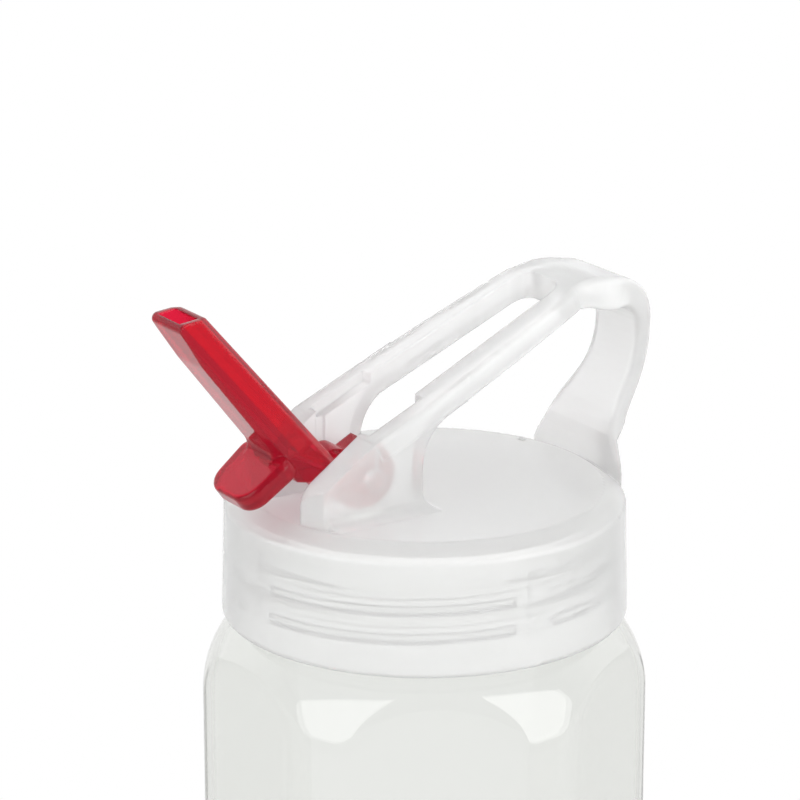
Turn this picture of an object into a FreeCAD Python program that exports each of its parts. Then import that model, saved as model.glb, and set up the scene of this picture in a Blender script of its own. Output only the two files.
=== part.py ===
import FreeCAD, Part
import math
import os

os.makedirs("parts", exist_ok=True)
Vec = FreeCAD.Vector

# Bottle, all sizes in millimetres
body_radius = 37.3
body_wall = 1.7
panel_count = 6
panel_sink = 3.0
panel_foot = 26.0
panel_scoop = 12.0
heel_radius = 5.0
foot_land = 5.3
push_up = 5.0
shoulder_rounding = 17.0
collar_step = 0.6
collar_gap = 0.4
lid_seat = 198.0

# Screw neck and its thread
neck_radius = 29.9
neck_wall = 2.0
thread_pitch = 4.7
thread_turns = 2.1
thread_depth = 1.4
thread_foot = 2.0
thread_crest = 1.0
thread_bite = 0.4
thread_rim_gap = 1.9
thread_gap = 0.6

# Lid skirt and deck
skirt_wall = 2.0
skirt_draft = 0.5
skirt_height = 19.2
deck_rise = 2.5
deck_bevel = 3.6
deck_thickness = 2.0
edge_rounding = 0.8
bore_edge_rounding = 0.3
break_width = 7.0
pad_width = 2.7
pad_raise = 0.2
pad_low = 5.0
pad_rim_gap = 2.2
gasket_thickness = 1.5
gasket_fit = 0.05
gasket_overlap = 0.6
gate_radius = 0.6
gate_rise = 0.3
gate_setback = 1.4
gate_angle = 20.6

# Handle, seen from the side, front towards -X
rail_slope = 24.5
rail_depth = 4.1
crown_inset = 6.9
crown_fall = 10.0
crown_rounding = 14.0
crown_depth = 5.7
strap_reach = 8.4
strap_lean = 36.5
strap_bend_rounding = 20.0
strap_thickness = 3.2
strap_knee = 4.3
strap_root = 1.4
strap_overhang = 0.2
foot_trim = 0.4
rim_lean = 46.0
strap_rounding = 9.0
rail_half_width = 12.5
rail_end_half_width = 9.0
strap_half_width = 6.3
strap_flare = 6.8
strap_flare_height = 20.0
knee_rounding = 10.0
handle_softness = 1.1
bar_stations = 61

# Spout cheeks at the front ends of the rails
cheek_setback = 3.1
cheek_length = 18.4
cheek_rounding = 5.0
cheek_step = 0.2
cheek_blend = 9.0
cheek_foot_blend = 3.5
cheek_side_blend = 2.6
blend_bite = 0.05
nose_half_width = 11.9
nose_length = 9.1
nose_slope = 35.0
nose_rounding = 0.8
bay_gap = 1.8
slot_gap = 0.9
slot_end_gap = 2.0
slot_rounding = 3.0
ledge_gap = 0.4
ledge_start = 0.9
ledge_drop = 1.8
ledge_side_gap = 2.05
ledge_rounding = 0.8

# Flip spout, drawn open
pivot_setback = 10.7
hub_radius = 5.6
hub_half_width = 4.6
hub_gap = 0.4
hub_cut_rise = 1.2
hub_cut_slope = 27.0
boss_radius = 2.4
boss_side_gap = 0.3
trunnion_radius = 1.7
trunnion_length = 2.6
pin_fit = 0.05
pin_end_gap = 0.4
snap_groove = 0.8
open_angle = 49.4
arm_standoff = 1.2
arm_thickness = 5.9
arm_swell = 1.6
arm_width = 10.0
arm_reach = 44.2
arm_foot_rise = 0.1
arm_bevel = 1.2
root_bevel = 1.1
tip_width = 9.0
tip_thickness = 4.7
tip_length = 9.0
tip_rounding = 1.0
tip_bevel = 0.5
belly_rounding = 14.0
outlet_slope = 6.0
spout_wall = 1.0
channel_start = 10.0
port_radius = 2.1
tab_fall = 36.0
tab_thickness = 3.6
tab_half_width = 6.95
tab_end_half_width = 6.0
tab_rounding = 3.6
tab_softness = 0.9
tab_root = 4.0
tab_root_inset = 0.6
tab_shoulder = 8.0
tab_shoulder_rounding = 2.0
tab_reach = 18.6
tab_rise = 9.15
crook_rounding = 2.2

# Soft seat under the spout hub
seal_radius = 4.8
seal_depth = 2.6
seal_rise = 2.0
seal_fit = 0.03
seat_wall = 1.6

# Sizes that follow from the ones above
lid_bore = neck_radius + thread_depth + thread_gap
lid_radius = lid_bore + skirt_wall
lid_top_radius = lid_radius - skirt_draft
deck_height = skirt_height + deck_rise
deck_radius = lid_top_radius - deck_bevel
deck_under = deck_height - deck_thickness
rim_height = deck_under - gasket_thickness
thread_start = rim_height - thread_rim_gap - thread_foot / 2 - thread_pitch * thread_turns
pad_high = rim_height - pad_rim_gap
strap_foot = lid_top_radius + strap_overhang
crown_x = lid_top_radius - crown_inset
cheek_front = cheek_setback - deck_radius
cheek_back = cheek_front + cheek_length
cheek_crease = cheek_front + nose_length
bay_half_width = arm_width / 2 + bay_gap
nose_reach = math.hypot(cheek_front, nose_half_width)
nose_tip = -math.sqrt(nose_reach ** 2 - bay_half_width ** 2)
boss_half_width = bay_half_width - boss_side_gap
pivot_x = cheek_front + pivot_setback
pivot_height = deck_height + hub_gap + hub_radius
pivot = Vec(pivot_x, 0, pivot_height)
closing_turn = 180 - open_angle - rail_slope
arm_taper = arm_swell / (arm_reach - tip_length)
front_angle = open_angle + math.degrees(math.atan(arm_taper))
closed_top = (arm_standoff + arm_thickness) / math.cos(math.radians(rail_slope))
rail_axis_height = pivot_height + closed_top - pivot_x * math.tan(math.radians(rail_slope))
beyond = 2 * body_radius


def rounded_path(corners, to_point, closed=True):
    """Edges along a polygon whose corners (a, b, radius) are rounded."""
    starts = []
    ends = []
    middles = []
    count = len(corners)
    for i, (a, b, radius) in enumerate(corners):
        here = Vec(a, b, 0)
        before = Vec(corners[i - 1][0], corners[i - 1][1], 0) - here
        after = Vec(corners[(i + 1) % count][0], corners[(i + 1) % count][1], 0) - here
        before.normalize()
        after.normalize()
        half = before.getAngle(after) / 2
        reach = radius / math.tan(half)
        inward = before + after
        inward.normalize()
        starts.append(here + before * reach)
        ends.append(here + after * reach)
        middles.append(here + inward * (radius / math.sin(half) - radius))
    edges = []
    for i in range(count):
        if corners[i][2] > 0:
            bend = [to_point(p.x, p.y) for p in (starts[i], middles[i], ends[i])]
            edges.append(Part.Arc(*bend).toShape())
        onward = starts[(i + 1) % count]
        if (ends[i] - onward).Length > 1e-6 and (closed or i < count - 1):
            edges.append(Part.makeLine(to_point(ends[i].x, ends[i].y), to_point(onward.x, onward.y)))
    return edges


def rounded_outline(corners, to_point):
    """Face inside a polygon with rounded corners."""
    return Part.Face(Part.Wire(rounded_path(corners, to_point)))


def side_slab(corners, half_width):
    """Solid with a side-view outline, spread evenly to both sides."""
    face = rounded_outline(corners, lambda a, b: Vec(a, -half_width, b))
    return face.extrude(Vec(0, 2 * half_width, 0))


def plan_slab(corners, low, high):
    """Solid with a top-view outline between two heights."""
    face = rounded_outline(corners, lambda a, b: Vec(a, b, low))
    return face.extrude(Vec(0, 0, high - low))


def turned(corners):
    """Solid of revolution about Z from corners (radius, height, rounding)."""
    face = rounded_outline(corners, lambda a, b: Vec(a, 0, b))
    return face.revolve(Vec(0, 0, 0), Vec(0, 0, 1), 360)


def barrel(radius, half_width, x, height):
    """Round bar along Y through a side-view point."""
    return Part.makeCylinder(radius, 2 * half_width, Vec(x, -half_width, height), Vec(0, 1, 0))


def screw_thread(root, crest, start, embed):
    """Trapezoid ridge wound on a helix, rising from the given height."""
    helix = Part.makeHelix(thread_pitch, thread_pitch * thread_turns, root)
    foot = root - math.copysign(embed, crest - root)
    profile = Part.makePolygon([
        Vec(foot, 0, -thread_foot / 2),
        Vec(crest, 0, -thread_crest / 2),
        Vec(crest, 0, thread_crest / 2),
        Vec(foot, 0, thread_foot / 2),
        Vec(foot, 0, -thread_foot / 2),
    ])
    ridge = Part.Wire(helix.Edges).makePipeShell([profile], True, True)
    ridge.translate(Vec(0, 0, start))
    return ridge


def bottle_form(inset):
    """Solid bottle shape, drawn smaller all round by the inset."""
    radius = body_radius - inset
    neck = neck_radius - (neck_wall if inset else 0)
    rim = lid_seat + rim_height + inset
    collar = neck if inset else neck_radius + collar_step
    shoulder_x = body_radius - shoulder_rounding
    meeting = math.acos((neck_radius + collar_step - shoulder_x) / shoulder_rounding)
    shoulder = Vec(shoulder_x, 0, lid_seat - collar_gap - shoulder_rounding * math.sin(meeting))
    bend = shoulder_rounding - inset
    sweep = math.acos((collar - shoulder.x) / bend)
    arc_end = shoulder + Vec(bend * math.cos(sweep), 0, bend * math.sin(sweep))
    arc_mid = shoulder + Vec(bend * math.cos(sweep / 2), 0, bend * math.sin(sweep / 2))
    upright = [arc_end, Vec(neck, 0, arc_end.z), Vec(neck, 0, rim), Vec(0, 0, rim), Vec(0, 0, push_up + inset)]
    foot_radius = body_radius - heel_radius - foot_land
    dish_mid = Vec(foot_radius / 2, 0, push_up * 0.75 + inset)
    foot = Vec(foot_radius, 0, inset)
    heel = heel_radius - inset
    heel_centre = Vec(radius - heel, 0, inset + heel)
    heel_start = heel_centre - Vec(0, 0, heel)
    heel_mid = heel_centre + Vec(heel, 0, -heel) * math.sqrt(0.5)
    heel_end = heel_centre + Vec(heel, 0, 0)
    wall_top = Vec(radius, 0, shoulder.z)
    edges = [Part.makeLine(a, b) for a, b in zip(upright, upright[1:]) if (a - b).Length > 1e-6]
    edges.append(Part.Arc(upright[-1], dish_mid, foot).toShape())
    edges.append(Part.makeLine(foot, heel_start))
    edges.append(Part.Arc(heel_start, heel_mid, heel_end).toShape())
    edges.append(Part.makeLine(heel_end, wall_top))
    edges.append(Part.Arc(wall_top, arc_mid, arc_end).toShape())
    form = Part.Face(Part.Wire(edges)).revolve(Vec(0, 0, 0), Vec(0, 0, 1), 360)
    flat = body_radius - panel_sink - inset
    reach = 2 * panel_scoop
    scoop = side_slab([
        (flat, lid_seat, 0),
        (flat, panel_foot, panel_scoop),
        (flat + reach, panel_foot, 0),
        (flat + reach, lid_seat, 0),
    ], body_radius)
    for k in range(panel_count):
        form = form.cut(scoop.rotated(Vec(0, 0, 0), Vec(0, 0, 1), k * 360 / panel_count))
    return form


def make_bottle():
    """Hollow bottle with the thread raised on its neck."""
    ridge = screw_thread(neck_radius, neck_radius + thread_depth, lid_seat + thread_start, thread_bite)
    shell = bottle_form(0).cut(bottle_form(body_wall))
    return shell.fuse(ridge).removeSplitter()


def rail_height(x):
    """Height of the rails' upper edge at a place along the bottle's front-to-back line."""
    return rail_axis_height + x * math.tan(math.radians(rail_slope))


def crossing(x1, z1, slope1, x2, z2, slope2):
    """Point where two side-view lines meet; slopes in degrees."""
    t1 = math.tan(math.radians(slope1))
    t2 = math.tan(math.radians(slope2))
    x = (z2 - z1 + t1 * x1 - t2 * x2) / (t1 - t2)
    return x, z1 + t1 * (x - x1)


def rail_side(x):
    """Half width across both rails, tapering from the cheeks to the crown."""
    share = min(1.0, max(0.0, (x - cheek_crease) / (crown_x - cheek_crease)))
    return rail_half_width + (rail_end_half_width - rail_half_width) * share ** 2


def handle_back():
    """Side-view corners of the handle's outer line: rails, crown, strap, foot on the lid's rim."""
    crown_z = rail_height(crown_x)
    knee_z = deck_height + strap_knee
    rear = lid_top_radius + strap_reach
    rear_z = crown_z - (rear - crown_x) * math.tan(math.radians(crown_fall))
    lean = math.tan(math.radians(strap_lean))
    foot = strap_foot + foot_trim
    return [
        (cheek_crease, rail_height(cheek_crease), 0),
        (crown_x, crown_z, crown_rounding),
        (rear, rear_z, strap_rounding),
        (rear, knee_z + (rear - strap_foot) / lean, strap_bend_rounding),
        (foot, knee_z + foot_trim / lean, knee_rounding),
        (foot, skirt_height - strap_root, 0),
    ]


def bar_section(point, along, half_width, depth):
    """Rounded cross-section of the handle, hung inwards from a point on its outer line."""
    inward = Vec(along.z, 0, -along.x)

    def to_point(a, b):
        return point + Vec(0, a, 0) + inward * b

    corners = [(-half_width, 0), (half_width, 0), (half_width, depth), (-half_width, depth)]
    return Part.Wire(rounded_path([(a, b, handle_softness) for a, b in corners], to_point))


def handle_bar():
    """Rails, crown and strap as one smooth bar before the spout slot is cut."""
    line = Part.Wire(rounded_path(handle_back(), lambda a, b: Vec(a, 0, b), closed=False))
    points = line.discretize(Number=bar_stations)
    full_turn = rail_slope + 90
    crown_share = (rail_slope + crown_fall) / full_turn
    turned_share = 0.0
    sections = []
    for i, point in enumerate(points):
        along = points[min(i + 1, bar_stations - 1)] - points[max(i - 1, 0)]
        along.normalize()
        heading = math.degrees(math.atan2(along.z, along.x))
        turned_share = max(turned_share, min(1.0, (rail_slope - heading) / full_turn))
        if turned_share < crown_share:
            depth = rail_depth + (crown_depth - rail_depth) * turned_share / crown_share
        else:
            rest = (turned_share - crown_share) / (1 - crown_share)
            depth = crown_depth + (strap_thickness - crown_depth) * rest
        if turned_share < 0.02:
            half_width = rail_side(point.x)
        else:
            half_width = rail_end_half_width + (strap_half_width - rail_end_half_width) * turned_share
        if turned_share > crown_share:
            spread = min(1.0, max(0.0, 1 - (point.z - deck_height) / strap_flare_height))
            half_width += strap_flare * spread ** 3
        sections.append(bar_section(point, along, half_width, depth))
    return Part.makeLoft(sections, True, True)


def cheek_outline():
    """Side-view corners of the cheeks, just under the rails' upper edge."""
    under = rail_axis_height - rail_depth / math.cos(math.radians(rail_slope))
    slope = math.tan(math.radians(rail_slope))
    back = cheek_back + cheek_blend
    root = deck_height - deck_thickness / 2
    crease_top = rail_height(cheek_crease) - cheek_step
    nose_top = crease_top - (cheek_crease - nose_tip) * math.tan(math.radians(nose_slope))
    return [
        (nose_tip, root, 0),
        (nose_tip, nose_top, cheek_rounding),
        (cheek_crease, crease_top, 0),
        (back, rail_height(back) - cheek_step, 0),
        (back, under + back * slope + cheek_step, 0),
        (cheek_back, under + cheek_back * slope + cheek_step, cheek_blend),
        (cheek_back, deck_height, cheek_foot_blend),
        (cheek_back + cheek_foot_blend, deck_height, 0),
        (cheek_back + cheek_foot_blend, root, 0),
    ]


def cheek_plan():
    """Top-view corners of both cheeks, whose noses follow the edge of the deck."""
    half = [
        (nose_tip, -bay_half_width, 0),
        (cheek_front, -nose_half_width, nose_rounding),
        (cheek_crease, -rail_side(cheek_crease) + cheek_step, 0),
        (cheek_back + cheek_blend, -rail_side(cheek_back + cheek_blend) + cheek_step, 0),
    ]
    return half + [(x, -y, r) for x, y, r in reversed(half)]


def cheek_feet():
    """Hollow sweeps that lead the cheeks' outer faces out into the deck."""
    root = deck_height - deck_thickness / 2
    rise = deck_height + cheek_side_blend - blend_bite
    shoulder = cheek_side_blend * (1 - math.sqrt(0.5))
    corners = cheek_plan()[1:4]
    feet = []
    for (x1, y1, _), (x2, y2, _) in zip(corners, corners[1:]):
        face = y1 + blend_bite
        toe = face - cheek_side_blend
        bend = [
            Vec(x1, face, rise),
            Vec(x1, face - shoulder, rise - cheek_side_blend + shoulder),
            Vec(x1, toe, rise - cheek_side_blend),
        ]
        base = [bend[2], Vec(x1, toe, root), Vec(x1, face + cheek_side_blend, root),
                Vec(x1, face + cheek_side_blend, rise), bend[0]]
        edges = [Part.Arc(*bend).toShape()]
        edges += [Part.makeLine(a, b) for a, b in zip(base, base[1:])]
        foot = Part.Face(Part.Wire(edges)).extrude(Vec(x2 - x1, y2 - y1, 0))
        feet += [foot, foot.mirror(Vec(0, 0, 0), Vec(0, 1, 0))]
    bounds = side_slab(cheek_outline(), deck_radius)
    bounds = bounds.common(Part.makeCylinder(nose_reach - nose_rounding / 2, beyond))
    return [foot.common(bounds) for foot in feet]


def make_handle():
    """Cheeks, rails and rear strap with the spout slot cut out."""
    knee = deck_height + strap_knee
    rim_guard = turned([
        (0, 0, 0),
        (strap_foot, 0, 0),
        (strap_foot, knee, 0),
        (strap_foot + beyond * math.tan(math.radians(rim_lean)), knee + beyond, 0),
        (0, knee + beyond, 0),
    ])
    bar = handle_bar().common(rim_guard)
    bar = bar.cut(Part.makeCylinder(lid_bore, deck_under))
    cheeks = side_slab(cheek_outline(), rail_half_width).common(plan_slab(cheek_plan(), 0, beyond))
    handle = bar.fuse([cheeks] + cheek_feet())
    slot_end = closed_point(*along_arm(arm_reach, arm_standoff + tip_thickness))[0] + slot_end_gap
    slot = [
        (cheek_front - beyond, -bay_half_width, 0),
        (cheek_back, -bay_half_width, 0),
        (slot_end, -tip_width / 2 - slot_gap, slot_rounding),
    ]
    slot += [(x, -y, r) for x, y, r in reversed(slot)]
    return handle.cut(plan_slab(slot, deck_height, deck_height + beyond))


def make_skirt():
    """Skirt and deck of the lid as one turned shell."""
    return turned([
        (0, deck_height, 0),
        (0, deck_under, 0),
        (lid_bore, deck_under, 0),
        (lid_bore, 0, bore_edge_rounding),
        (lid_radius, 0, edge_rounding),
        (lid_top_radius, skirt_height, edge_rounding),
        (deck_radius, deck_height, edge_rounding),
    ])


def lid_thread():
    """Inside thread, broken at four places, with a thin upright pad in each break."""
    ridge = screw_thread(lid_bore, lid_bore - thread_depth, thread_start - thread_pitch / 2, thread_bite)
    reach = 2 * lid_radius
    for turn in (0, 90):
        gap = Part.makeBox(reach, break_width, skirt_height, Vec(-reach / 2, -break_width / 2, 0))
        ridge = ridge.cut(gap.rotated(Vec(0, 0, 0), Vec(0, 0, 1), turn))
    ring = Part.makeCylinder(lid_bore + thread_bite, pad_high - pad_low, Vec(0, 0, pad_low))
    ring = ring.cut(Part.makeCylinder(lid_bore - pad_raise, pad_high, Vec(0, 0, 0)))
    pads = []
    for turn in (0, 90):
        bar = Part.makeBox(reach, pad_width, skirt_height, Vec(-reach / 2, -pad_width / 2, 0))
        pads.append(ring.common(bar.rotated(Vec(0, 0, 0), Vec(0, 0, 1), turn)))
    return [ridge] + pads


def make_lid():
    """The whole lid: skirt, deck, handle, cheeks, seat for the seal and pin holes."""
    lid = make_skirt().fuse(make_handle())
    seat_low = deck_height - seal_depth
    well = Part.makeCylinder(seal_radius + seat_wall, seal_depth + seat_wall, Vec(pivot_x, 0, seat_low - seat_wall))
    lid = lid.fuse(well)
    lid = lid.cut(Part.makeCylinder(seal_radius, seal_depth + hub_gap, Vec(pivot_x, 0, seat_low)))
    lid = lid.cut(Part.makeCylinder(port_radius, deck_height, Vec(pivot_x, 0, seat_low - 2 * seat_wall)))
    pin_hole = barrel(trunnion_radius + pin_fit, boss_half_width + trunnion_length + pin_end_gap, pivot_x, pivot_height)
    lid = lid.cut(pin_hole)
    groove = 2 * (bay_half_width + snap_groove)
    lid = lid.cut(Part.makeBox(trunnion_radius, groove, beyond,
                               Vec(pivot_x - trunnion_radius / 2, -groove / 2, pivot_height)))
    ledge_back = closed_point(*tab_point(tab_shoulder, tab_rise + tab_thickness))[0] + ledge_gap
    ledge_front = cheek_crease + ledge_start
    ledge = [
        (ledge_front, rail_height(ledge_front) - ledge_drop, ledge_rounding),
        (ledge_back, rail_height(ledge_back) - ledge_drop, ledge_rounding),
        (ledge_back, rail_height(ledge_back) + rail_depth, 0),
        (ledge_front, rail_height(ledge_back) + rail_depth, 0),
    ]
    lid = lid.cut(side_slab(ledge, tab_half_width + ledge_side_gap))
    for piece in lid_thread():
        lid = lid.fuse(piece)
    return lid.fuse(gate_mark())


def gate_mark():
    """Small round mark left on the deck by moulding."""
    reach = deck_radius - gate_setback
    turn = math.radians(gate_angle)
    spot = Vec(reach * math.cos(turn), reach * math.sin(turn), deck_under + gate_rise)
    return Part.makeCylinder(gate_radius, deck_thickness, spot)


def make_gasket():
    """Flat soft ring between the bottle's rim and the deck."""
    low = rim_height
    outer = lid_bore - gasket_fit
    inner = neck_radius - neck_wall - gasket_overlap
    ring = Part.makeCylinder(outer, gasket_thickness, Vec(0, 0, low))
    return ring.cut(Part.makeCylinder(inner, gasket_thickness, Vec(0, 0, low)))


def along_arm(reach, standoff):
    """Side-view point at a distance along the open arm and in front of the pivot."""
    angle = math.radians(open_angle)
    x = pivot_x - reach * math.cos(angle) - standoff * math.sin(angle)
    z = pivot_height + reach * math.sin(angle) - standoff * math.cos(angle)
    return x, z


def tab_point(reach, rise):
    """Side-view point at a distance along the thumb tab and above the pivot."""
    fall = math.radians(tab_fall)
    x = pivot_x - reach * math.cos(fall) - rise * math.sin(fall)
    z = pivot_height - reach * math.sin(fall) + rise * math.cos(fall)
    return x, z


def closed_point(x, z):
    """Where a side-view point of the open spout lies once the spout is shut."""
    turn = math.radians(closing_turn)
    a = x - pivot_x
    b = z - pivot_height
    return pivot_x + a * math.cos(turn) + b * math.sin(turn), pivot_height - a * math.sin(turn) + b * math.cos(turn)


def make_arm():
    """Arm of the spout, thinner and narrower at the outlet, edges bevelled."""
    back = arm_standoff
    front = arm_standoff + arm_thickness
    lip = along_arm(arm_reach, back + tip_thickness)
    cut_line = along_arm(0, back)
    heel = crossing(lip[0], lip[1], outlet_slope, cut_line[0], cut_line[1], 180 - open_angle)
    outline = [
        (*along_arm(0, back), 0),
        (*heel, tip_rounding),
        (*lip, tip_rounding),
        (*along_arm(arm_reach - tip_length, front), belly_rounding),
        (*along_arm(0, front + arm_swell), 0),
    ]
    arm = side_slab(outline, arm_width / 2)
    foot = Vec(pivot_x - hub_radius / 2 - beyond, -arm_width / 2, pivot_height + arm_foot_rise - beyond)
    return arm.cut(Part.makeBox(beyond, arm_width, beyond, foot))


def arm_plan(arm):
    """Taper the arm's sides towards the tip and bevel its long edges."""
    angle = math.radians(open_angle)
    along = Vec(-math.cos(angle), 0, math.sin(angle))
    out = Vec(-math.sin(angle), 0, -math.cos(angle))
    base = pivot + out * arm_standoff
    side = Vec(0, 1, 0)

    def section(reach, half, front_bevel):
        origin = base + along * reach
        deep = arm_thickness + arm_swell - reach * arm_taper
        corner = [
            (-half + arm_bevel, -0.01),
            (half - arm_bevel, -0.01),
            (half, arm_bevel),
            (half, deep - front_bevel),
            (half - front_bevel, deep + 0.01),
            (-half + front_bevel, deep + 0.01),
            (-half, deep - front_bevel),
            (-half, arm_bevel),
        ]
        points = [origin + side * a + out * b for a, b in corner]
        return Part.makePolygon(points + points[:1])

    envelope = Part.makeLoft([
        section(-1, arm_width / 2, root_bevel),
        section(arm_reach + 2, tip_width / 2, tip_bevel),
    ], True, True)
    return arm.common(envelope)


def make_tab():
    """Thumb tab in front of the hub, rounded in its own plane."""
    root_half_width = arm_width / 2 - tab_root_inset
    half = [
        (tab_root, -root_half_width, 0),
        (tab_shoulder, -root_half_width, 0),
        (tab_shoulder, -tab_half_width, tab_shoulder_rounding),
        (tab_reach, -tab_end_half_width, tab_rounding),
    ]
    tab = plan_slab(half + [(x, -y, r) for x, y, r in reversed(half)], 0, tab_thickness)
    rims = [e for e in tab.Edges if e.BoundBox.ZLength < 1e-6 and e.BoundBox.XMax > tab_shoulder]
    tab = tab.makeFillet(tab_softness, rims)
    tab.rotate(Vec(0, 0, 0), Vec(0, 0, 1), 180)
    tab.translate(Vec(0, 0, tab_rise))
    tab.rotate(Vec(0, 0, 0), Vec(0, 1, 0), -tab_fall)
    tab.translate(pivot)
    return tab


def make_crook():
    """Hollow rounding in the corner between the arm's front and the tab's top."""
    front = arm_standoff + arm_thickness + arm_swell
    top = tab_rise + tab_thickness
    corner = crossing(*along_arm(0, front), 180 - front_angle, *tab_point(0, top), tab_fall)
    half_angle = math.radians(front_angle + tab_fall) / 2
    up = Vec(-math.cos(math.radians(front_angle)), 0, math.sin(math.radians(front_angle)))
    down = Vec(-math.cos(math.radians(tab_fall)), 0, -math.sin(math.radians(tab_fall)))
    tangent = crook_rounding / math.tan(half_angle)
    inner = Vec(corner[0], 0, corner[1])
    middle = up + down
    middle.normalize()
    centre = inner + middle * (crook_rounding / math.sin(half_angle))
    deep = inner - middle * crook_rounding / 2
    high = inner + up * tangent
    low = inner + down * tangent
    half_width = arm_width / 2 - root_bevel
    web = side_slab([(p.x, p.z, 0) for p in (deep, high, low)], half_width)
    return web.cut(barrel(crook_rounding, half_width, centre.x, centre.z))


def make_hub():
    """Part of a drum that turns on the soft seat, cut away above the pins at the front."""
    drum = barrel(hub_radius, hub_half_width, pivot_x, pivot_height)
    rise = math.tan(math.radians(hub_cut_slope))
    low = pivot_height + hub_cut_rise
    reach = 2 * hub_radius
    above = side_slab([
        (pivot_x - reach, low - reach * rise, 0),
        (pivot_x + reach, low + reach * rise, 0),
        (pivot_x + reach, low + 3 * reach, 0),
        (pivot_x - reach, low + 3 * reach, 0),
    ], hub_half_width)
    return drum.cut(above)


def make_spout():
    """Hub with side pins, hollow arm and thumb tab in one piece."""
    arm = arm_plan(make_arm())
    spout = make_hub().fuse(arm).fuse(make_tab()).fuse(make_crook())
    spout = spout.fuse(barrel(boss_radius, boss_half_width, pivot_x, pivot_height))
    spout = spout.fuse(barrel(trunnion_radius, boss_half_width + trunnion_length, pivot_x, pivot_height))
    mid = along_arm(channel_start + 1, arm_standoff + arm_thickness / 2)
    bend = Vec(mid[0], 0, mid[1])
    inlet = Part.makeCylinder(port_radius, 2 * hub_radius, pivot - Vec(0, 0, 2 * hub_radius))
    spout = spout.cut(inlet.fuse(Part.makeSphere(port_radius, pivot)))
    spout = spout.cut(Part.makeCylinder(port_radius, (bend - pivot).Length, pivot, bend - pivot))
    width = tip_width - 2 * spout_wall
    channel = Part.makeBox(arm_reach, width, tip_thickness - 2 * spout_wall, Vec(0, -width / 2, 0))
    channel.rotate(Vec(0, 0, 0), Vec(0, 1, 0), open_angle - 180)
    start = along_arm(channel_start, arm_standoff + spout_wall)
    channel.translate(Vec(start[0], 0, start[1]))
    return spout.cut(channel).removeSplitter()


def make_seal():
    """Soft seat pressed into the deck, hollowed to the hub's curve."""
    low = deck_height - seal_depth
    plug = Part.makeCylinder(seal_radius, seal_depth + seal_rise, Vec(pivot_x, 0, low))
    plug = plug.cut(barrel(hub_radius + seal_fit, bay_half_width, pivot_x, pivot_height))
    return plug.cut(Part.makeCylinder(port_radius, seal_depth + seal_rise, Vec(pivot_x, 0, low)))


def save(shape, name):
    """Write one finished piece as a STEP file."""
    shape.exportStep("parts/" + name + ".step")
    print(name, shape.isValid(), len(shape.Solids), round(shape.Volume), shape.BoundBox)


seat = Vec(0, 0, lid_seat)
save(make_bottle(), "bottle")
save(make_gasket().translated(seat), "lid_gasket")
save(make_lid().translated(seat), "lid")
save(make_seal().translated(seat), "spout_seal")
save(make_spout().translated(seat), "flip_spout")
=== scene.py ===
import math

import bmesh
import bpy
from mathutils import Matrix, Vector


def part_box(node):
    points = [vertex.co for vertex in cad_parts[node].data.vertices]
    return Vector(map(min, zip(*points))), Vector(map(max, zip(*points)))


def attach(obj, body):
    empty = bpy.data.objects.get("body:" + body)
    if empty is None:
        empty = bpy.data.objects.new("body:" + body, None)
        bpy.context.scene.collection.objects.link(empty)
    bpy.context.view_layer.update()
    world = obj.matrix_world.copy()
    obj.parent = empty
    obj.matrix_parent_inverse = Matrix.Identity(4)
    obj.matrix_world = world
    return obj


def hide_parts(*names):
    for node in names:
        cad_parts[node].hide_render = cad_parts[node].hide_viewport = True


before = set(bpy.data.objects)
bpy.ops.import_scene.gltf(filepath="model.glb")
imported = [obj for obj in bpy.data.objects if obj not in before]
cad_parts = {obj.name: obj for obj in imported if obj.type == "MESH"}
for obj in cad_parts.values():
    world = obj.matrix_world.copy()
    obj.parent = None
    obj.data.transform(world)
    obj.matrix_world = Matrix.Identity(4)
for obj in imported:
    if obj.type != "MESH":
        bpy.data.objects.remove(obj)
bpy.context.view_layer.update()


# Bottle: clear, stiff blow-moulded plastic with six flat panels round the body and a round
# foot band. The wall is thin and even, the panel edges are softened by the mould, and the
# screw thread stands out of the neck as one helical ridge.
bottle_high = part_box("bottle")[1]
body_radius = bottle_high.y
bottle_rim = bottle_high.z
body_wall = 0.0017
panel_count = 6
panel_sink = 0.0030
panel_foot = 0.026
panel_scoop = 0.012
panel_edge_softness = 0.0011
heel_radius = 0.005
foot_land = 0.0053
push_up = 0.005
shoulder_rounding = 0.017
neck_radius = 0.0299
neck_wall = 0.0020
collar_step = 0.0006
collar_gap = 0.0004
rim_softness = 0.0006
thread_pitch = 0.0047
thread_turns = 2.1
thread_depth = 0.0014
thread_foot = 0.0020
thread_crest = 0.0010
thread_drop = 0.0029
thread_end_slope = 18

collar_radius = neck_radius + collar_step
collar_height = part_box("lid")[0].z - collar_gap
inner_neck = neck_radius - neck_wall
shoulder_x = body_radius - shoulder_rounding
shoulder_sweep = math.acos((collar_radius - shoulder_x) / shoulder_rounding)
shoulder_z = collar_height - shoulder_rounding * math.sin(shoulder_sweep)
thread_top = bottle_rim - thread_drop

bottle_columns = 360
first_ring_radius = 0.0004
base_spacing = 0.0018
foot_band_spacing = 0.0022
scoop_spacing = 0.0007
panel_spacing = 0.004
panel_top_spacing = 0.0008
thread_spacing = 0.00032
inner_neck_spacing = 0.0015
heel_steps = 10
shoulder_steps = 34
rim_steps = 5
scoop_margin = 1.4
panel_top_reach = 0.012
scoop_end = panel_foot + panel_scoop * scoop_margin
panel_top = shoulder_z - panel_top_reach


def spaced(start, stop, step):
    """Evenly spaced values from start towards stop, without the last one."""
    count = max(1, math.ceil(abs(stop - start) / step))
    return [start + (stop - start) * i / count for i in range(count)]


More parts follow.
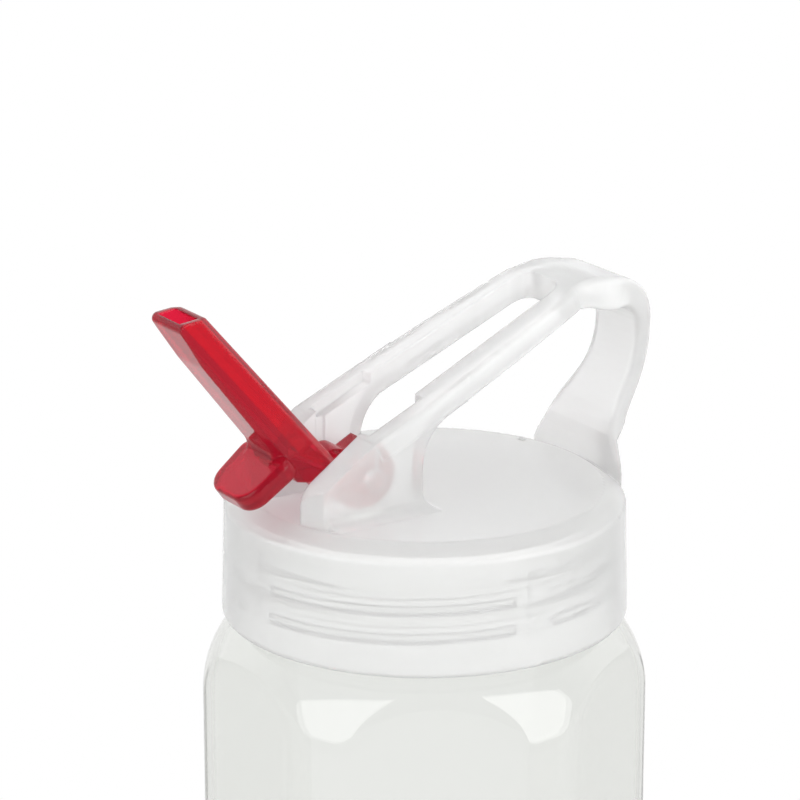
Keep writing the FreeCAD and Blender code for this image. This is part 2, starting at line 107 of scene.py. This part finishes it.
def arc(centre, radius, start, stop, count):
    """Profile points round part of a circle, angles in radians, without the last one."""
    turns = [start + (stop - start) * i / count for i in range(count)]
    return [(centre[0] + radius * math.cos(t), centre[1] + radius * math.sin(t)) for t in turns]


def body_profile(inset):
    """Radius and height from the middle of the base up the wall to the collar."""
    wall_radius = body_radius - inset
    foot_radius = body_radius - heel_radius - foot_land
    heel = heel_radius - inset
    points = []
    for r in spaced(first_ring_radius, foot_radius, base_spacing):
        points.append((r, inset + push_up * (1 - (r / foot_radius) ** 2)))
    points += [(r, inset) for r in spaced(foot_radius, wall_radius - heel, base_spacing)]
    points += arc((wall_radius - heel, inset + heel), heel, -math.pi / 2, 0, heel_steps)
    stretches = (
        (inset + heel, panel_foot, foot_band_spacing),
        (panel_foot, scoop_end, scoop_spacing),
        (scoop_end, panel_top, panel_spacing),
        (panel_top, shoulder_z, panel_top_spacing),
    )
    for start, stop, spacing in stretches:
        points += [(wall_radius, z) for z in spaced(start, stop, spacing)]
    rounding = shoulder_rounding - inset
    end_radius = inner_neck if inset else collar_radius
    sweep = math.acos((end_radius - shoulder_x) / rounding)
    points += arc((shoulder_x, shoulder_z), rounding, 0, sweep, shoulder_steps)
    return points


def panelled(radius, height, angle, inset):
    """Radius of the body at an angle, pressed in by the flat panels with a soft edge."""
    flat = body_radius - panel_sink - inset
    if height < panel_foot + panel_scoop:
        rise = max(0.0, height - panel_foot) / panel_scoop
        flat += panel_scoop * (1 - math.sqrt(max(0.0, 1 - (1 - rise) ** 2)))
    step = 2 * math.pi / panel_count
    across = (angle + step / 2) % step - step / 2
    flat /= math.cos(across)
    soft = max(panel_edge_softness - abs(radius - flat), 0.0) / panel_edge_softness
    return min(radius, flat) - soft * soft * panel_edge_softness / 4


def thread_height(height, angle):
    """How far the thread stands out of the neck at a height and angle."""
    tallest = 0.0
    low = thread_top - thread_pitch * thread_turns
    for turn in range(math.ceil(thread_turns)):
        along = angle / (2 * math.pi) + turn
        if along <= thread_turns:
            off = abs(height - low - along * thread_pitch)
            flank = (thread_foot / 2 - off) / (thread_foot / 2 - thread_crest / 2)
            from_end = min(along, thread_turns - along)
            ends = min(1.0, from_end * thread_end_slope)
            tallest = max(tallest, thread_depth * max(0.0, min(1.0, flank)) * ends)
    return tallest


def bottle_rows():
    """Rings of points from the outside of the base, over the rim and down the inside."""
    columns = [2 * math.pi * i / bottle_columns for i in range(bottle_columns)]
    rim_start = bottle_rim - rim_softness
    quarter = math.pi / 2
    rows = []
    for r, z in body_profile(0):
        rows.append([(panelled(r, z, a, 0), z) for a in columns])
    for z in spaced(collar_height, rim_start, thread_spacing):
        rows.append([(neck_radius + thread_height(z, a), z) for a in columns])
    inside = body_profile(body_wall)
    outer_edge = (neck_radius - rim_softness, rim_start)
    inner_edge = (inner_neck + rim_softness, rim_start)
    rim = arc(outer_edge, rim_softness, 0, quarter, rim_steps)
    rim += arc(inner_edge, rim_softness, quarter, math.pi, rim_steps)
    rim += [(inner_neck, z) for z in spaced(rim_start, inside[-1][1], inner_neck_spacing)]
    for point in rim:
        rows.append([point] * bottle_columns)
    for r, z in reversed(inside):
        rows.append([(panelled(r, z, a, body_wall), z) for a in columns])
    return columns, rows


def ring_mesh(name, columns, rows):
    """Closed skin through rings of (radius, height) points, with a fan at each end."""
    bm = bmesh.new()
    rings = []
    for row in rows:
        ring = []
        for a, (r, z) in zip(columns, row):
            ring.append(bm.verts.new((r * math.cos(a), r * math.sin(a), z)))
        rings.append(ring)
    count = len(columns)
    for lower, upper in zip(rings, rings[1:]):
        for i in range(count):
            j = (i + 1) % count
            bm.faces.new((lower[i], lower[j], upper[j], upper[i]))
    for ring, row, outward in ((rings[0], rows[0], -1), (rings[-1], rows[-1], 1)):
        middle = bm.verts.new((0, 0, row[0][1]))
        for i in range(count):
            corners = (ring[i], ring[(i + 1) % count], middle)
            bm.faces.new(corners if outward > 0 else corners[::-1])
    for face in bm.faces:
        face.smooth = True
    mesh = bpy.data.meshes.new(name)
    bm.to_mesh(mesh)
    bm.free()
    return mesh


def blank_material(name):
    """New node material with its nodes, links and surface shader."""
    material = bpy.data.materials.new(name)
    material.use_nodes = True
    tree = material.node_tree
    return material, tree.nodes, tree.links, tree.nodes["Principled BSDF"]


def fine_bump(nodes, links, shader, scale, strength, distance):
    """Very slight unevenness of a moulded skin, in metres."""
    place = nodes.new("ShaderNodeTexCoord")
    noise = nodes.new("ShaderNodeTexNoise")
    noise.inputs["Scale"].default_value = scale
    noise.inputs["Detail"].default_value = 3.0
    bump = nodes.new("ShaderNodeBump")
    bump.inputs["Strength"].default_value = strength
    bump.inputs["Distance"].default_value = distance
    links.new(place.outputs["Object"], noise.inputs["Vector"])
    links.new(noise.outputs["Fac"], bump.inputs["Height"])
    links.new(bump.outputs["Normal"], shader.inputs["Normal"])
    return bump


def tint_inside(nodes, links, colour, density):
    """Let the plastic take colour out of light inside it, so thick places are darker."""
    absorbing = nodes.new("ShaderNodeVolumeAbsorption")
    absorbing.inputs["Color"].default_value = colour
    absorbing.inputs["Density"].default_value = density
    links.new(absorbing.outputs["Volume"], nodes["Material Output"].inputs["Volume"])


def combined(nodes, links, operation, first, second):
    """Two node values worked into one, such as their product or the larger of them."""
    working = nodes.new("ShaderNodeMath")
    working.operation = operation
    links.new(first, working.inputs[0])
    links.new(second, working.inputs[1])
    return working.outputs[0]


def seen_by(nodes, links, *rays):
    """One where a ray of the named kinds arrives, zero for all others."""
    path = nodes.new("ShaderNodeLightPath")
    arrives = path.outputs[rays[0]]
    for ray in rays[1:]:
        arrives = combined(nodes, links, "MAXIMUM", arrives, path.outputs[ray])
    return arrives


def switched(nodes, links, factor, first, second):
    """The first shader where the factor is zero and the second where it is one."""
    switch = nodes.new("ShaderNodeMixShader")
    links.new(factor, switch.inputs["Fac"])
    links.new(first, switch.inputs[1])
    links.new(second, switch.inputs[2])
    return switch.outputs["Shader"]


def let_light_through(nodes, links, shader, colour, *rays):
    """Let light shine through see-through plastic, which only dims and colours it."""
    passing = nodes.new("ShaderNodeBsdfTransparent")
    passing.inputs["Color"].default_value = colour
    arrives = seen_by(nodes, links, *rays)
    surface = switched(nodes, links, arrives, shader.outputs["BSDF"], passing.outputs["BSDF"])
    links.new(surface, nodes["Material Output"].inputs["Surface"])


bottle = bpy.data.objects.new("clear_bottle", ring_mesh("clear_bottle", *bottle_rows()))
bpy.context.scene.collection.objects.link(bottle)
faint_green = (0.10, 0.12, 0.0, 1)
clear_light = (0.95, 0.95, 0.95, 1)
clear_plastic, nodes, links, shader = blank_material("clear bottle plastic")
shader.inputs["Base Color"].default_value = (0.985, 0.99, 0.985, 1)
shader.inputs["Roughness"].default_value = 0.015
shader.inputs["IOR"].default_value = 1.5
shader.inputs["Transmission Weight"].default_value = 1.0
fine_bump(nodes, links, shader, scale=60.0, strength=0.12, distance=0.0002)
tint_inside(nodes, links, faint_green, density=52.0)
let_light_through(nodes, links, shader, clear_light, "Is Shadow Ray")
bottle.data.materials.append(clear_plastic)
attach(bottle, "bottle")
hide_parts("bottle")


# Lid gasket: a flat ring of soft white rubber, punched from sheet and held in the lid
# against the underside of the deck, where the bottle's rim presses on it.
gasket_rubber, nodes, links, shader = blank_material("white gasket rubber")
shader.inputs["Base Color"].default_value = (0.86, 0.86, 0.84, 1)
shader.inputs["Roughness"].default_value = 0.55
shader.inputs["Subsurface Weight"].default_value = 0.4
shader.inputs["Subsurface Radius"].default_value = (1, 1, 1)
shader.inputs["Subsurface Scale"].default_value = 0.001
fine_bump(nodes, links, shader, scale=900.0, strength=0.2, distance=0.0001)


def dress(node, material):
    """Give a piece of the frame its finish."""
    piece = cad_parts[node]
    piece.data.materials.clear()
    piece.data.materials.append(material)


dress("lid_gasket", gasket_rubber)


# Lid: one moulding of milky, see-through white plastic with a satin skin. The skirt screws
# over the neck, and the slanted handle with its two rails and cheeks rises from the deck.
moulded_edge = 0.0006
milky_light = (0.94, 0.94, 0.94, 1)
milky_plastic, nodes, links, shader = blank_material("milky lid plastic")
shader.inputs["Base Color"].default_value = (0.960, 0.963, 0.965, 1)
shader.inputs["Roughness"].default_value = 0.22
shader.inputs["IOR"].default_value = 1.40
shader.inputs["Transmission Weight"].default_value = 0.55
shader.inputs["Subsurface Weight"].default_value = 1.0
shader.inputs["Subsurface Radius"].default_value = (1, 1, 1)
shader.inputs["Subsurface Scale"].default_value = 0.0012
shader.inputs["Specular IOR Level"].default_value = 0.3


def soft_edges(nodes, links, bump, radius):
    """Round the moulding's sharp edges in the light."""
    edge = nodes.new("ShaderNodeBevel")
    edge.samples = 6
    edge.inputs["Radius"].default_value = radius
    links.new(edge.outputs["Normal"], bump.inputs["Normal"])


satin_skin = fine_bump(nodes, links, shader, scale=350.0, strength=0.10, distance=0.0001)
soft_edges(nodes, links, satin_skin, moulded_edge)
let_light_through(nodes, links, shader, milky_light, "Is Shadow Ray", "Is Diffuse Ray")
dress("lid", milky_plastic)


# Spout seal: a small plug of soft white rubber pressed into the deck under the spout, with
# a hollow top that the spout's hub turns in and a hole for the drink.
dress("spout_seal", gasket_rubber)


# Flip spout: one glossy moulding of see-through red plastic. The hollow arm carries the drink
# to the outlet at its tip, the thumb tab stands in front, and side pins snap into the cheeks.
deep_red = (0.94, 0.85, 0.87, 1)
red_light = (0.98, 0.95, 0.95, 1)
red_plastic, nodes, links, shader = blank_material("clear red spout plastic")
shader.inputs["Base Color"].default_value = (0.87, 0.025, 0.075, 1)
shader.inputs["Roughness"].default_value = 0.05
shader.inputs["IOR"].default_value = 1.38
shader.inputs["Transmission Weight"].default_value = 0.80
glossy_skin = fine_bump(nodes, links, shader, scale=250.0, strength=0.08, distance=0.0001)
soft_edges(nodes, links, glossy_skin, moulded_edge)
tint_inside(nodes, links, deep_red, density=1400.0)
let_light_through(nodes, links, shader, red_light, "Is Shadow Ray", "Is Diffuse Ray")
dress("flip_spout", red_plastic)


# Studio: a wide pale floor, white surroundings, three large soft lamps and the camera at the
# photograph's place. The floor fades to white round the object's shadow, and reflections see
# white only behind the object and a greyer room elsewhere, so the clear walls keep their shape.
floor_half = 4.0
shadow_reach = 0.08
white_reach = 0.32
straight_behind = (0.545, 0.839, 0.0)
grey_beside = 0.62
white_behind = 0.92
white = (1, 1, 1, 1)
corner_sides = ((-1, -1), (1, -1), (1, 1), (-1, 1))
floor_corners = [(x * floor_half, y * floor_half, 0) for x, y in corner_sides]
floor_mesh = bpy.data.meshes.new("floor")
floor_mesh.from_pydata(floor_corners, [], [(0, 1, 2, 3)])
floor = bpy.data.objects.new("floor", floor_mesh)
bpy.context.scene.collection.objects.link(floor)
floor_paint, nodes, links, shader = blank_material("pale floor paint")
shader.inputs["Base Color"].default_value = (0.72, 0.72, 0.71, 1)
shader.inputs["Roughness"].default_value = 0.9
floor.data.materials.append(floor_paint)


def faded(nodes, links, value, start, stop):
    """Smooth rise from zero to one while a node value goes from start to stop."""
    rise = nodes.new("ShaderNodeMapRange")
    rise.interpolation_type = "SMOOTHSTEP"
    rise.inputs["From Min"].default_value = start
    rise.inputs["From Max"].default_value = stop
    links.new(value, rise.inputs["Value"])
    return rise.outputs["Result"]


def reach_towards(nodes, links, vector, direction):
    """How far a node vector reaches in a direction."""
    reach = nodes.new("ShaderNodeVectorMath")
    reach.operation = "DOT_PRODUCT"
    reach.inputs[1].default_value = direction
    links.new(vector, reach.inputs[0])
    return reach.outputs["Value"]


far_white = nodes.new("ShaderNodeEmission")
far_white.inputs["Color"].default_value = white
far_white.inputs["Strength"].default_value = 1.0
place = nodes.new("ShaderNodeTexCoord")
distance = nodes.new("ShaderNodeVectorMath")
distance.operation = "LENGTH"
bearing = nodes.new("ShaderNodeVectorMath")
bearing.operation = "NORMALIZE"
links.new(place.outputs["Object"], distance.inputs[0])
links.new(place.outputs["Object"], bearing.inputs[0])
far = faded(nodes, links, distance.outputs["Value"], shadow_reach, white_reach)
behind = reach_towards(nodes, links, bearing.outputs["Vector"], straight_behind)
behind = faded(nodes, links, behind, grey_beside, white_behind)
far = combined(nodes, links, "MULTIPLY", far, seen_by(nodes, links, "Is Camera Ray"))
behind = combined(nodes, links, "MULTIPLY", behind, seen_by(nodes, links, "Is Glossy Ray"))
through = seen_by(nodes, links, "Is Transmission Ray")
whiteness = combined(nodes, links, "MAXIMUM", far, behind)
whiteness = combined(nodes, links, "MAXIMUM", whiteness, through)
surface = switched(nodes, links, whiteness, shader.outputs["BSDF"], far_white.outputs["Emission"])
links.new(surface, nodes["Material Output"].inputs["Surface"])

world = bpy.data.worlds.new("white studio")
bpy.context.scene.world = world
world.use_nodes = True
nodes = world.node_tree.nodes
links = world.node_tree.links
room_light = nodes["Background"]
room_light.inputs["Color"].default_value = white
room_light.inputs["Strength"].default_value = 0.60
white_wall = nodes.new("ShaderNodeBackground")
white_wall.inputs["Color"].default_value = white
white_wall.inputs["Strength"].default_value = 1.0
mirrored_room = nodes.new("ShaderNodeBackground")
mirrored_room.inputs["Strength"].default_value = 1.0
direction = nodes.new("ShaderNodeTexCoord")
room_shade = nodes.new("ShaderNodeValToRGB")
grey_end, white_end = room_shade.color_ramp.elements
grey_end.position = 0.0
grey_end.color = (0.16, 0.16, 0.16, 1)
white_end.position = 0.45
white_end.color = white
towards_wall = reach_towards(nodes, links, direction.outputs["Generated"], straight_behind)
links.new(towards_wall, room_shade.inputs["Fac"])
links.new(room_shade.outputs["Color"], mirrored_room.inputs["Color"])
mirrored = seen_by(nodes, links, "Is Glossy Ray")
looked_at = seen_by(nodes, links, "Is Camera Ray", "Is Transmission Ray")
room = room_light.outputs["Background"]
room = switched(nodes, links, mirrored, room, mirrored_room.outputs["Background"])
room = switched(nodes, links, looked_at, room, white_wall.outputs["Background"])
links.new(room, nodes["World Output"].inputs["Surface"])


def soft_lamp(name, place, aim, width, height, power):
    """Flat soft lamp that faces a place."""
    lamp = bpy.data.lights.new(name, "AREA")
    lamp.shape = "RECTANGLE"
    lamp.size = width
    lamp.size_y = height
    lamp.energy = power
    holder = bpy.data.objects.new(name, lamp)
    holder.location = place
    holder.rotation_euler = (Vector(aim) - Vector(place)).to_track_quat("-Z", "Y").to_euler()
    holder.visible_camera = False
    bpy.context.scene.collection.objects.link(holder)


soft_lamp("left lamp", place=(-0.98, 0.02, 0.54), aim=(-0.351, 0.797, 0.54),
          width=1.25, height=0.80, power=5.3)
soft_lamp("right lamp", place=(0.53, -0.726, 0.51), aim=(0.738, 0.252, 0.51),
          width=0.95, height=0.86, power=5.0)
soft_lamp("top lamp", place=(0.1, 0.1, 1.4), aim=(0, 0, 0.2),
          width=0.9, height=0.9, power=2.6)

view_target = Vector((-0.00344, 0.00223, 0.234))
camera_data = bpy.data.cameras.new("camera")
camera_data.lens = 169.35
camera_data.sensor_width = 36.0
camera = bpy.data.objects.new("camera", camera_data)
camera.location = (-0.3255, -0.4937, 0.4204)
camera.rotation_euler = (view_target - camera.location).to_track_quat("-Z", "Y").to_euler()
bpy.context.scene.collection.objects.link(camera)
bpy.context.scene.camera = camera
bpy.context.scene.view_settings.view_transform = "Standard"
